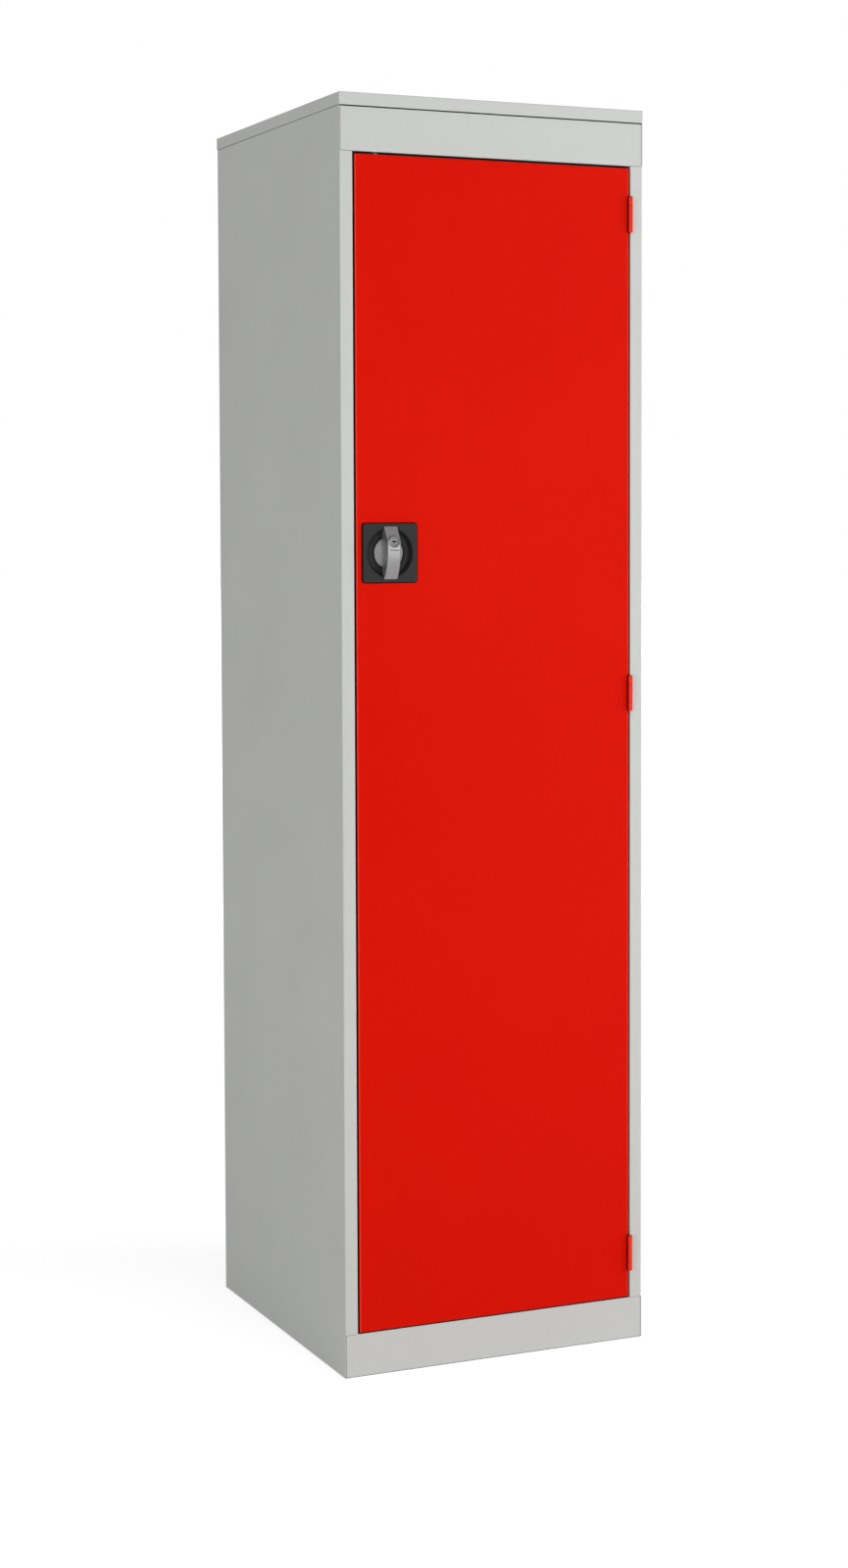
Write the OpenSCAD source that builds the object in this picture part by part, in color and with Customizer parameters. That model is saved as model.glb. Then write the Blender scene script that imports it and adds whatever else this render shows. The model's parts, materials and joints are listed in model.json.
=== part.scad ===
// Tall steel side locker: folded carcass, one hinged door, three-point handle lock
// Millimetres. +Z is up, the door faces -Y, the origin is on the floor under the middle.

/* [Carcass] */
// Height over the lid
body_h = 1780; // [1500:10:2000]
// Width across the side panels
body_w = 469; // [420:1:600]
// Depth from the front frame to the back
body_d = 490; // [420:10:600]
// Thickness of the sheet steel
sheet = 1; // [0.8:0.1:1.2]
// Height of the lid's edge
lid_h = 17.5; // [16:0.1:26]
// How far the lid stands out past the carcass on each side
lid_lap = 0.8; // [0.4:0.1:2]
// Height of the header rail and of the plinth rail
rail_h = 60.6; // [50:0.1:90]
// Width of the frame strips beside the door
strip_w = 19.5; // [16:0.5:24]

/* [Door] */
// Gap beside the door at its free edge
side_gap = 3; // [2.3:0.1:4]
// Gap beside the door at its hinges
hinge_gap = 2.1; // [2:0.1:3]
// Gap above the door
top_gap = 3; // [2:0.1:4]
// Gap below the door
bottom_gap = 1.6; // [1:0.1:3]
// Depth of the folded door
door_d = 19; // [18:0.5:19]

/* [Interior] */
// Height of a shelf's folded edge
shelf_edge = 25; // [20:1:30]
// Distance from the front frame to the front of a shelf
shelf_setback = 50; // [45:1:80]

/* [Hinges] */
// Length of a hinge
hinge_l = 51; // [45:1:64]
// Outer radius of a hinge knuckle
knuckle_r = 3.1; // [2.8:0.1:3.2]

/* [Lock] */
// Height of the handle's axis above the floor
lock_z = 1151.5; // [900:0.1:1300]
// Distance from the carcass's left face to the handle's axis
lock_x = 72.2; // [70:0.1:90]
// Side of the square escutcheon
plate_w = 83.8; // [82:0.1:90]
// Length of the bowed grip
grip_l = 73; // [72:0.5:75]
// Width of the bowed grip at its waist
grip_w = 19; // [18:0.1:20]
// Radius from the handle's axis to the pins that drive the rods
crank_r = 18; // [17:0.1:19]

/* [Hidden] */
$fn = 48;

// Folded sheet
half = sheet / 2;
bend_r = sheet;                  // radius of a bend, at the middle of the sheet
bend_steps = 4;
edge_r = 1.5;                    // outer radius of a fold
over = 1;                        // how far a cutter runs past a face

// Heights and depths of the carcass
frame_top = body_h - lid_h;
lid_seam = 1.3;                  // dark line between the lid's edge and the header rail
header_top = frame_top - lid_seam;
header_z = header_top - rail_h;
stop_d = 21;                     // depth of the door stop's front face
stop_w = 10;                     // width of the door stop
rail_d = stop_d + sheet;         // depth of the header and plinth rails
flange_front = rail_d + 2;       // where a side panel's top and bottom flanges start
rear_flange = 15;
foot_flange = 20;
lid_return = 12;
base_edge = 25;
base_return = 8;
seam = 0.8;                      // open seam at each end of a rail
tab_d = 16;                      // depth of the tabs that a rail is welded by
back_front = body_d - 2 * sheet; // depth of the back panel's front face
back_rivets_per_side = 6;
back_rivet_r = 2;
fixing_r = 3.5;                  // holes for the wall screws
fixing_spacing = 300;
fixing_drop = 110;               // below the lid

// Grip heights above the door's face, which set the overall depth
grip_top = 17.8;
front_y = -(body_d + lid_lap - grip_top) / 2;

// Door
door_x = strip_w + side_gap;
door_w = body_w - strip_w - hinge_gap - door_x;
door_z = rail_h + bottom_gap;
door_top = header_z - top_gap;
door_h = door_top - door_z;
door_lip = 12;

// Uprights and shelves
shelf_count = 4;
hat_h = 8;
hat_w = 20;
hat_foot = 10;
front_upright_d = 80;
rear_upright_d = body_d - 70;
slot_pitch = 50;
slot_h = 4;
slot_w = 10;
first_slot_z = rail_h + 40;
slot_count = floor((frame_top - first_slot_z - 60) / slot_pitch);
upright_gap = 10;                // between an upright's top and the lid
shelf_gap = 2;                   // between a shelf's side and the uprights
shelf_rear_gap = 4;
shelf_return = 10;
shelf_slots = [for (k = [1:shelf_count]) round(k * (slot_count + 1) / (shelf_count + 1))];
clip_t = 1.5;
clip_w = 18;
clip_drop = 12;                  // from a shelf's underside down to its slot
clip_tail = 8;                   // from the slot down to the clip's lower end
clip_tab = 12;                   // how far the tab reaches under the shelf
buffer_r = 4;
buffer_gap = 0.25;               // between a buffer and the closed door

// Hinges
leaf_t = 0.9;
leaf_d = 16;
leaf_front = 0.3;
knuckle_out = knuckle_r + 0.5;   // axis of the pins in front of the door's face
middle_knuckle = 25;
knuckle_gap = 0.4;
pin_r = 1.6;
fit = 0.05;                      // radial clearance of a running fit
hinge_x = body_w - strip_w - hinge_gap / 2;
outer_knuckle = (hinge_l - middle_knuckle) / 2 - knuckle_gap;
hinge_heights = [body_h - 148.6, body_h / 2 + 56, 127.3];
hinge_rivet_d = 10;
hinge_rivet_r = 1.6;
hinge_rivet_at = 0.3 * hinge_l;  // above and below the middle of the hinge
rivet_head_r = 3;
rivet_head_h = 1.2;
pin_head_r = 2.4;
pin_head_h = 0.7;
notch_w = 2.2;                   // notch in the door's edge behind a knuckle
notch_d = 3.2;
notch_gap = 0.6;                 // above and below the hinge
stiffener_w = 40;
stiffener_h = 16;
stiffener_foot = 20;
stiffener_end = 30;              // from its ends to the door's

// Lock: heights along the handle's axis are above the door's face, so they fall into it
plate_t = 2.5;
plate_slope = 1.4;               // width and height of the slope round the plate
plate_corner_r = 5;
back_plate_t = 1.5;
nut_h = 3.2;
nut_r = 4.04;                    // across the corners
dish_r = 34.5;
dish_floor_r = 31;
dish_floor = -4.5;
hub_recess_r = 23.3;
hub_recess = -8;
dish_back = -10;
dish_outer_r = 35.5;
boss_r = 15;
boss_back = -23;
stud_at = 31;
stud_r = 2;
stud_back = -7;
hub_r = 21.5;
hub_front = -3.5;
hub_back = -7.8;
stem_r = 10;
cam_front = -23.3;
cam_t = 3;
cam_back = cam_front - cam_t;
shank_w = 10;
grip_tip = 4.7;                  // top of the grip's tips
grip_under = 2.9;                // underside of its tips, just over the plate
grip_tip_l = 4;
grip_foot = 28.5;                // half length of the grip's foot
grip_flare = 0.7;                // how much further each side stands out at the tips
index_y = 3.5;                   // the line across the grip
index_l = 13;
index_w = 0.8;
index_depth = 0.4;
bolt_r = 3;
key_y = 16;                      // from the handle's axis up to the key's
barrel_r = 8.25;
barrel_front = 17.3;
barrel_back = -2;
plug_r = 6.5;
plug_back = 1.2;
keyway = [6.8, 1.3, 9];           // length, width, depth of the key's slot
keyway_notch = [1.8, 1.4];       // width and drop of the notch under its middle
tail_r = 3;
key_cam_r = 6;
key_cam_off = 3.5;
key_cam_t = 2;
key_cam_back = -7.6;
pocket_top = -5.2;
cam_notch_at = [-7.6, 4];        // from the key's axis to the notch for its cam
cam_notch = [13, 6, 2.5];
crank_pin_r = 2.5;
crank_pin_back = -30;
crank_at = crank_r * sin(45);    // the pins rest at 45 degrees to the level
strap_front = -27.3;
strap_t = 2;
strap_x = crank_at - 5.7;        // inner edge of a strap, from the handle's axis
strap_w = 17;
strap_slack = 0.75;              // above and below a pin in its slot
rod_r = 3;
rod_off = 15.5;                  // from the handle's axis to a rod, sideways
rod_depth = -9;
rod_start = 60;                  // from the handle's axis to a rod's shoulder
rod_clear = 0.5;                 // between a drawn rod's tip and its rail
top_rod_l = header_z - rod_clear - lock_z - rod_start;
bottom_rod_l = lock_z - rail_h - rod_clear - rod_start;
rod_hole_r = 4.5;
rod_tail_r = 2.45;               // the thinner end that passes through the strap
rod_tail_l = 8;
rod_nut_r = 4.62;
rod_nut_h = 4;
bush_r = 4.5;
bush_flange_r = 6.5;
bush_l = 5;
bush_flange_t = 2.5;
clip_block = [14, 13, 10];       // saddle blocks: width, depth from the door's skin, height
cam_arm_w = 13;
tongue_l = 50;
tongue_w = 16;
washer_r = 6.2;
washer_t = 1.2;
bolt_head_r = 5.77;              // across the corners
bolt_head_h = 4;

// ---- frames of reference ----

// x from the carcass's left face, y into the depth from the front frame, z up
module on_carcass() {
    translate([-body_w / 2, front_y, 0]) children();
}

// x to the right and y up from the handle's axis, z out of the door
module on_lock() {
    on_carcass() translate([lock_x, 0, lock_z]) rotate([90, 0, 0]) children();
}

module on_right_side() {
    translate([body_w, 0, 0]) mirror([1, 0, 0]) children();
}

// Extrudes a profile drawn in y and z along x
module along_x(start, length) {
    translate([start, 0, 0]) rotate([90, 0, 90]) linear_extrude(length) children();
}

// Extrudes a profile drawn in x and z along y
module along_y(start, length) {
    translate([0, start + length, 0]) rotate([90, 0, 0]) linear_extrude(length) children();
}

// ---- folded sheet ----

function left_of(v) = [-v[1], v[0]];
function heading(a, b) = (b - a) / norm(b - a);
function turned(v, angle) = [v[0] * cos(angle) - v[1] * sin(angle),
    v[0] * sin(angle) + v[1] * cos(angle)];
function reversed(list) = [for (i = [len(list) - 1:-1:0]) list[i]];

// Points round the bend at p, on the line that runs off to the left of the path
function bend_points(before, p, after, off, r) =
    let (d0 = heading(before, p), d1 = heading(p, after),
        angle = atan2(cross(d0, d1), d0 * d1), side = sign(angle),
        centre = p - r * tan(abs(angle) / 2) * d0 + side * r * left_of(d0))
    [for (k = [0:bend_steps])
        centre + (off - side * r) * turned(left_of(d0), angle * k / bend_steps)];

function edge_line(path, off, r) =
    let (last = len(path) - 1)
    concat([path[0] + off * left_of(heading(path[0], path[1]))],
        [for (i = [1:last - 1]) each bend_points(path[i - 1], path[i], path[i + 1], off, r)],
        [path[last] + off * left_of(heading(path[last - 1], path[last]))]);

// A strip of sheet of thickness t whose middle follows the path, bent at its corners
module folded(path, t = sheet, r = bend_r) {
    polygon(concat(edge_line(path, t / 2, r), reversed(edge_line(path, -t / 2, r))));
}

function quarter(centre, r, from) =
    [for (k = [0:bend_steps]) centre + r * [cos(from + 90 * k / bend_steps),
        sin(from + 90 * k / bend_steps)]];

function round_rect(w, h, r) = concat(quarter([w - r, h - r], r, 0),
    quarter([r, h - r], r, 90), quarter([r, r], r, 180), quarter([w - r, r], r, 270));

// A closed pan with its skin at z = 0, four walls and a lip turned in along each
module pan(w, h, depth, lip) {
    difference() {
        intersection() {
            linear_extrude(depth) polygon(round_rect(w, h, edge_r));
            along_x(0, w) polygon(round_rect(h, depth, edge_r));
            along_y(0, h) polygon(round_rect(w, depth, edge_r));
        }
        translate([sheet, sheet, sheet]) cube([w - 2 * sheet, h - 2 * sheet, depth - 2 * sheet]);
        translate([sheet + lip, sheet + lip, depth / 2])
            cube([w - 2 * (sheet + lip), h - 2 * (sheet + lip), depth]);
    }
}

// ---- carcass ----

// The rear flanges and the back panel are riveted together in two rows
module back_rivet_places() {
    pitch = (frame_top - 200) / (back_rivets_per_side - 1);
    for (k = [0:back_rivets_per_side - 1], x = [rear_flange / 2, body_w - rear_flange / 2])
        translate([x, body_d, 100 + k * pitch]) rotate([-90, 0, 0]) children();
}

module back_rivet_holes() {
    back_rivet_places() cylinder(r = back_rivet_r + fit, h = 8, center = true);
}

// The left-hand panel: its front edge folds into the frame strip, the return and the stop
module side_panel() {
    front_fold = [[half, flange_front + over], [half, half], [strip_w - half, half],
        [strip_w - half, stop_d + half], [strip_w + stop_w - sheet, stop_d + half]];
    rear_fold = [[half, back_front - over], [half, body_d - half],
        [rear_flange, body_d - half]];
    section = [[foot_flange, half], [half, half], [half, frame_top - half],
        [foot_flange, frame_top - half]];
    translate([0, 0, rail_h]) linear_extrude(header_z - rail_h) folded(front_fold);
    linear_extrude(frame_top) folded(rear_fold);
    difference() {
        along_y(0, back_front) folded(section);
        translate([sheet, -over, -over])
            cube([foot_flange, flange_front + over, frame_top + 2 * over]);
        translate([-over, -over, rail_h])
            cube([sheet + 2 * over, flange_front + over, header_z - rail_h]);
    }
}

module left_side_panel() {
    color("silver") on_carcass() difference() {
        side_panel();
        back_rivet_holes();
    }
}

module right_side_panel() {
    color("silver") on_carcass() difference() {
        on_right_side() side_panel();
        back_rivet_holes();
        hinge_rivet_holes();
    }
}

// The two holes near its top take the screws that hold the locker to a wall
module back_panel() {
    inset = sheet + half;
    color("silver") on_carcass() difference() {
        translate([inset, back_front, 0]) cube([body_w - 2 * inset, sheet, frame_top - sheet]);
        back_rivet_holes();
        for (side = [-1, 1])
            translate([(body_w + side * fixing_spacing) / 2, back_front, frame_top - fixing_drop])
                rotate([90, 0, 0]) cylinder(r = fixing_r, h = 8, center = true);
    }
}

module back_rivets() {
    head_h = 0.7;
    tail_h = 1.6;
    color("lightgray") on_carcass() back_rivet_places() {
        translate([0, 0, -2 * sheet - tail_h]) cylinder(r = back_rivet_r, h = 2 * sheet + tail_h);
        cylinder(r = 1.8 * back_rivet_r, h = head_h);
        translate([0, 0, -2 * sheet - tail_h]) cylinder(r = 1.5 * back_rivet_r, h = tail_h);
    }
}

module top_lid() {
    color("silver") on_carcass() translate([-lid_lap, -lid_lap, body_h]) mirror([0, 0, 1])
        pan(body_w + 2 * lid_lap, body_d + 2 * lid_lap, lid_h, lid_return);
}

// Takes the stop off a rail's ends, where the side panels have their own
module rail_end_cuts(z) {
    for (x = [0, body_w - strip_w - stop_w])
        translate([x, stop_d - over, z])
            cube([strip_w + stop_w, sheet + 2 * over, stop_w + over]);
}

// A rail from side to side, with tabs that lie on the side panels and are welded to them
module rail(profile, z) {
    along_x(sheet + seam, body_w - 2 * (sheet + seam)) folded(profile);
    tab = [[sheet + seam + 2 * sheet, half], [sheet + half, half], [sheet + half, tab_d]];
    translate([0, 0, z + edge_r]) linear_extrude(rail_h - 2 * edge_r) {
        intersection() {
            folded(tab);
            translate([0, half]) square(2 * tab_d);
        }
        translate([body_w, 0]) mirror([1, 0]) intersection() {
            folded(tab);
            translate([0, half]) square(2 * tab_d);
        }
    }
}

module header_rail() {
    profile = [[stop_d + half, header_z - stop_w], [stop_d + half, header_z + half],
        [half, header_z + half], [half, header_top - half], [rail_d, header_top - half]];
    color("silver") on_carcass() difference() {
        rail(profile, header_z);
        rail_end_cuts(header_z - stop_w - over);
        translate([lock_x - rod_off, -rod_depth, header_z])
            cylinder(r = rod_hole_r, h = 8, center = true);
    }
}

module plinth_rail() {
    profile = [[stop_d + half, rail_h + stop_w], [stop_d + half, rail_h - half],
        [half, rail_h - half], [half, half], [rail_d, half]];
    color("silver") on_carcass() difference() {
        rail(profile, 0);
        rail_end_cuts(rail_h);
        translate([lock_x + rod_off, -rod_depth, rail_h])
            cylinder(r = rod_hole_r, h = 8, center = true);
    }
}

module base_panel() {
    color("silver") on_carcass() translate([sheet, rail_d, rail_h]) mirror([0, 0, 1])
        pan(body_w - 2 * sheet, back_front - rail_d, base_edge, base_return);
}

// ---- interior ----

// A left-hand hat section on the side panel, with its slots facing the shelves
module upright(depth) {
    hat = [[sheet + half, depth - hat_w / 2 - hat_foot], [sheet + half, depth - hat_w / 2],
        [sheet + hat_h - half, depth - hat_w / 2], [sheet + hat_h - half, depth + hat_w / 2],
        [sheet + half, depth + hat_w / 2], [sheet + half, depth + hat_w / 2 + hat_foot]];
    difference() {
        translate([0, 0, rail_h]) linear_extrude(frame_top - rail_h - upright_gap) folded(hat);
        for (k = [0:slot_count - 1])
            translate([hat_h - over, depth - slot_w / 2, slot_z(k) - slot_h / 2])
                cube([sheet + 2 * over, slot_w, slot_h]);
    }
}

function slot_z(k) = first_slot_z + k * slot_pitch;

module front_left_upright() {
    color("silver") on_carcass() upright(front_upright_d);
}

module front_right_upright() {
    color("silver") on_carcass() on_right_side() upright(front_upright_d);
}

module rear_left_upright() {
    color("silver") on_carcass() upright(rear_upright_d);
}

module rear_right_upright() {
    color("silver") on_carcass() on_right_side() upright(rear_upright_d);
}

// Height of the top of shelf k, counted from 0 at the bottom
function shelf_top(k) = slot_z(shelf_slots[k]) + clip_drop + shelf_edge;

module shelf(k) {
    side = sheet + hat_h + shelf_gap;
    color("silver") on_carcass() translate([side, shelf_setback, shelf_top(k)])
        mirror([0, 0, 1])
            pan(body_w - 2 * side, back_front - shelf_rear_gap - shelf_setback, shelf_edge,
                shelf_return);
}

// A clip hooks into a slot, lies flat on the upright and carries the shelf on its tab
module shelf_clip(depth, slot) {
    face = sheet + hat_h;
    hook_w = slot_w - 1;
    hook_l = 4;
    hook_drop = 6;
    translate([0, depth, slot_z(slot)]) {
        translate([face, -clip_w / 2, -clip_tail]) cube([clip_t, clip_w, clip_drop + clip_tail]);
        translate([face, -clip_w / 2, clip_drop - clip_t]) cube([clip_tab, clip_w, clip_t]);
        translate([face - hook_l, -hook_w / 2, -slot_h / 2 + 0.3])
            cube([hook_l + clip_t, hook_w, slot_h - 1]);
        translate([face - hook_l, -hook_w / 2, -hook_drop]) cube([clip_t, hook_w, hook_drop]);
    }
}

module shelf_clips() {
    color("lightgray") on_carcass()
        for (slot = shelf_slots, depth = [front_upright_d, rear_upright_d]) {
            shelf_clip(depth, slot);
            on_right_side() shelf_clip(depth, slot);
        }
}

// Rubber buttons on the left-hand stop, which the closed door just clears
module door_buffers() {
    color("dimgray") on_carcass() for (z = [0.25, 0.5, 0.8])
        translate([strip_w + stop_w - buffer_r - sheet, door_d + buffer_gap, z * body_h])
            rotate([-90, 0, 0]) cylinder(r = buffer_r, h = stop_d - door_d - buffer_gap);
}

// ---- hinges ----

// Rivet places on the line between the two leaves, pointing to the right
module hinge_rivet_places() {
    for (z = hinge_heights, side = [-1, 1])
        translate([hinge_x, hinge_rivet_d, z + side * hinge_rivet_at]) rotate([0, 90, 0])
            children();
}

module hinge_rivet_holes() {
    hinge_rivet_places() cylinder(r = hinge_rivet_r + fit, h = 8, center = true);
}

module leaf_knuckle(z, length, leaf_x) {
    translate([hinge_x, -knuckle_out, z]) cylinder(r = knuckle_r, h = length);
    translate([leaf_x, -knuckle_out, z]) cube([leaf_t, knuckle_out + leaf_front + over, length]);
}

module hinge_bore(z) {
    translate([hinge_x, -knuckle_out, z - hinge_l]) cylinder(r = pin_r + fit, h = 2 * hinge_l);
}

module frame_leaf(z) {
    leaf_x = body_w - strip_w - leaf_t;
    color("red") on_carcass() difference() {
        union() {
            translate([leaf_x, leaf_front, z - hinge_l / 2]) cube([leaf_t, leaf_d, hinge_l]);
            leaf_knuckle(z - hinge_l / 2, outer_knuckle, leaf_x);
            leaf_knuckle(z + hinge_l / 2 - outer_knuckle, outer_knuckle, leaf_x);
        }
        hinge_bore(z);
        hinge_rivet_holes();
    }
}

module door_leaf(z) {
    leaf_x = door_x + door_w;
    color("red") on_carcass() difference() {
        union() {
            translate([leaf_x, leaf_front, z - hinge_l / 2]) cube([leaf_t, leaf_d, hinge_l]);
            leaf_knuckle(z - middle_knuckle / 2, middle_knuckle, leaf_x);
        }
        hinge_bore(z);
        hinge_rivet_holes();
    }
}

module hinge_pin(z) {
    color("lightgray") on_carcass() translate([hinge_x, -knuckle_out, z]) {
        translate([0, 0, -hinge_l / 2]) cylinder(r = pin_r, h = hinge_l + 0.1);
        translate([0, 0, hinge_l / 2]) cylinder(r = pin_head_r, h = pin_head_h);
    }
}

// A rivet lies flush in its leaf and is headed on the far side of the sheet
module hinge_rivet() {
    leaf_face = hinge_gap / 2 - leaf_t;
    far_side = hinge_gap / 2 + sheet;
    translate([0, 0, leaf_face]) cylinder(r = hinge_rivet_r, h = far_side - leaf_face + half);
    translate([0, 0, far_side]) cylinder(r = rivet_head_r, h = rivet_head_h);
}

module frame_hinge_rivets() {
    color("lightgray") on_carcass() hinge_rivet_places() hinge_rivet();
}

module door_hinge_rivets() {
    color("lightgray") on_carcass() hinge_rivet_places() mirror([0, 0, 1]) hinge_rivet();
}

// ---- door ----

module stud_places() {
    for (x = [-stud_at, stud_at], y = [-stud_at, stud_at]) translate([x, y, 0]) children();
}

// Both rods, from the handle's axis: the bottom one is the top one turned half round
module rod_places(side) {
    rotate([0, 0, side > 0 ? 0 : 180]) translate([-rod_off, 0, rod_depth]) rotate([-90, 0, 0])
        children();
}

module door_skin() {
    color("red") difference() {
        on_carcass() translate([door_x, 0, door_top]) rotate([-90, 0, 0])
            pan(door_w, door_h, door_d, door_lip);
        on_carcass() for (z = hinge_heights)
            translate([door_x + door_w - notch_w, -over, z - hinge_l / 2 - notch_gap])
                cube([notch_w + over, notch_d + over, hinge_l + pin_head_h + 2 * notch_gap]);
        on_carcass() hinge_rivet_holes();
        on_lock() {
            cylinder(r = dish_outer_r + 0.3, h = 6, center = true);
            stud_places() cylinder(r = stud_r + 0.2, h = 6, center = true);
            for (side = [-1, 1])
                rod_places(side) cylinder(r = bush_r + fit, h = 2 * body_h);
        }
    }
}

module door_stiffener() {
    wall = stiffener_w / 2;
    foot = wall + stiffener_foot;
    rib = sheet + stiffener_h;
    hat = [[-foot, sheet + half], [-wall, sheet + half], [-wall, rib], [wall, rib],
        [wall, sheet + half], [foot, sheet + half]];
    color("red") on_carcass() translate([body_w / 2, 0, door_z + stiffener_end])
        linear_extrude(door_h - 2 * stiffener_end) folded(hat);
}

module rod_bush(side, end) {
    color("dimgray") on_lock() rod_places(side) difference() {
        union() {
            translate([0, 0, end - bush_l]) cylinder(r = bush_r, h = bush_l);
            translate([0, 0, end - sheet - bush_flange_t])
                cylinder(r = bush_flange_r, h = bush_flange_t);
        }
        translate([0, 0, end - 2 * bush_l]) cylinder(r = rod_r + fit, h = 4 * bush_l);
    }
}

module top_rod_bush() {
    rod_bush(1, door_top - lock_z);
}

module bottom_rod_bush() {
    rod_bush(-1, lock_z - door_z);
}

// Saddle blocks on the inside of the door's face, which keep the rods straight
module rod_clip(side, at) {
    on_lock() rod_places(side) difference() {
        translate([-clip_block[0] / 2, rod_depth + sheet, at]) cube(clip_block);
        translate([0, 0, at - over]) cylinder(r = rod_r + fit, h = clip_block[2] + 2 * over);
    }
}

module rod_clips() {
    color("dimgray") {
        for (share = [0.33, 0.78]) rod_clip(1, rod_start + share * top_rod_l);
        for (share = [0.2, 0.5, 0.8]) rod_clip(-1, rod_start + share * bottom_rod_l);
    }
}

// ---- handle and lock ----

// Room for the key's cam to turn outwards, at the handle's rest and at its quarter turn
module key_cam_notch() {
    translate([cam_notch_at[0], key_y + cam_notch_at[1], hub_recess]) cube(cam_notch);
}

// The square plate, with a slope all round its front
module plate() {
    side = [[0, 0], [plate_w, 0], [plate_w, plate_t - plate_slope],
        [plate_w - plate_slope, plate_t], [plate_slope, plate_t], [0, plate_t - plate_slope]];
    translate([-plate_w / 2, -plate_w / 2, 0]) intersection() {
        linear_extrude(plate_t) polygon(round_rect(plate_w, plate_w, plate_corner_r));
        along_x(0, plate_w) polygon(side);
        along_y(0, plate_w) polygon(side);
    }
}

module handle_escutcheon() {
    color([0.2, 0.2, 0.2]) on_lock() difference() {
        union() {
            plate();
            translate([0, 0, dish_back]) cylinder(r = dish_outer_r, h = -dish_back + over);
            translate([0, 0, boss_back]) cylinder(r = boss_r, h = dish_back - boss_back + over);
            stud_places() translate([0, 0, stud_back]) cylinder(r = stud_r, h = -stud_back + over);
        }
        rotate_extrude() polygon([[0, plate_t + over], [dish_r, plate_t + over],
            [dish_r, plate_t], [dish_floor_r, dish_floor], [0, dish_floor]]);
        translate([0, 0, hub_recess]) cylinder(r = hub_recess_r, h = -hub_recess);
        translate([0, 0, boss_back - over]) cylinder(r = stem_r + fit, h = -boss_back);
        for (turn = [0, -90]) rotate([0, 0, turn]) key_cam_notch();
    }
}

module lock_back_plate() {
    side = plate_w - 4;
    color("lightgray") on_lock() difference() {
        translate([-side / 2, -side / 2, -sheet - back_plate_t])
            cube([side, side, back_plate_t]);
        cylinder(r = dish_outer_r + 0.3, h = 8, center = true);
        stud_places() cylinder(r = stud_r + 0.2, h = 8, center = true);
    }
}

module escutcheon_nuts() {
    color("lightgray") on_lock() stud_places() translate([0, 0, -sheet - back_plate_t - nut_h])
        difference() {
            cylinder(r = nut_r, h = nut_h, $fn = 6);
            translate([0, 0, -over]) cylinder(r = stud_r + fit, h = nut_h + 2 * over);
        }
}

module handle_hub() {
    color("darkgray") on_lock() difference() {
        union() {
            difference() {
                translate([0, 0, hub_back]) cylinder(r = hub_r, h = hub_front - hub_back);
                translate([0, key_y, hub_back - over])
                    cylinder(r = key_cam_off + key_cam_r + 0.3, h = pocket_top - hub_back + over);
            }
            translate([0, 0, cam_front]) cylinder(r = stem_r, h = hub_back - cam_front + 0.2);
            translate([-shank_w / 2, -shank_w / 2, cam_back])
                cube([shank_w, shank_w, cam_t + over]);
        }
        translate([0, key_y, hub_back]) cylinder(r = tail_r + 0.3, h = 10);
        translate([0, 0, cam_back - over]) cylinder(r = bolt_r + fit, h = 16);
    }
}

// Side view of the grip, as points of height along the door and height above its face
function grip_outline() =
    let (end = grip_l / 2, drop = grip_top - grip_tip,
        r = (end * end + drop * drop) / (2 * drop), sweep = asin(end / r), steps = 10)
    concat([[key_y, grip_top], [end, grip_tip], [end, grip_under],
        [end - grip_tip_l, grip_under], [grip_foot, hub_front], [-grip_foot, hub_front],
        [-end + grip_tip_l, grip_under], [-end, grip_under]],
        [for (k = [0:steps]) let (a = sweep * (1 - k / steps))
            [-r * sin(a), grip_top - r * (1 - cos(a))]]);

function grip_half(share) = grip_w / 2 + grip_flare * share * share;

// Front view of the grip: a little narrower at its waist than at its ends
function grip_waist() =
    let (end = grip_l / 2, steps = 6)
    concat([for (k = [-steps:steps]) [grip_half(k / steps), k * end / steps]],
        [for (k = [steps:-1:-steps]) [-grip_half(k / steps), k * end / steps]]);

module handle_grip() {
    color("silver") on_lock() difference() {
        intersection() {
            along_x(-grip_w, 2 * grip_w) polygon(grip_outline());
            translate([0, 0, hub_front - over]) linear_extrude(grip_top + 10)
                polygon(grip_waist());
        }
        translate([0, key_y, barrel_back]) cylinder(r = barrel_r + fit, h = 30);
        translate([0, key_y, hub_front - over]) cylinder(r = tail_r + 0.3, h = 10);
        translate([-index_l / 2, index_y, grip_top - index_depth]) cube([index_l, index_w, over]);
    }
}

module key_barrel() {
    color("silver") on_lock() translate([0, key_y, 0]) difference() {
        translate([0, 0, barrel_back]) cylinder(r = barrel_r, h = barrel_front - barrel_back);
        translate([0, 0, plug_back - 0.2]) cylinder(r = plug_r + fit, h = 30);
        translate([0, 0, barrel_back - over]) cylinder(r = tail_r + fit, h = 10);
    }
}

// The keyway is a level slot with a small notch under its middle
module key_plug() {
    color("silver") on_lock() translate([0, key_y, 0]) difference() {
        union() {
            translate([0, 0, plug_back]) cylinder(r = plug_r, h = barrel_front - 0.3 - plug_back);
            translate([0, 0, pocket_top - 0.2])
                cylinder(r = tail_r, h = plug_back - pocket_top + 0.2 + over);
            translate([0, 0, key_cam_back]) cylinder(r = 1.6, h = 3);
        }
        translate([-keyway[0] / 2, -keyway[1] / 2, barrel_front - keyway[2]]) cube(keyway);
        translate([-keyway_notch[0] / 2, -keyway[1] / 2 - keyway_notch[1],
            barrel_front - keyway[2]])
            cube([keyway_notch[0], keyway_notch[1] + keyway[1] / 2, keyway[2]]);
    }
}

module key_cam() {
    color("lightgray") on_lock() translate([0, key_y, key_cam_back]) difference() {
        translate([-key_cam_off, 0, 0]) cylinder(r = key_cam_r, h = key_cam_t);
        translate([0, 0, -over]) cylinder(r = 1.6 + fit, h = key_cam_t + 2 * over);
    }
}

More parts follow.
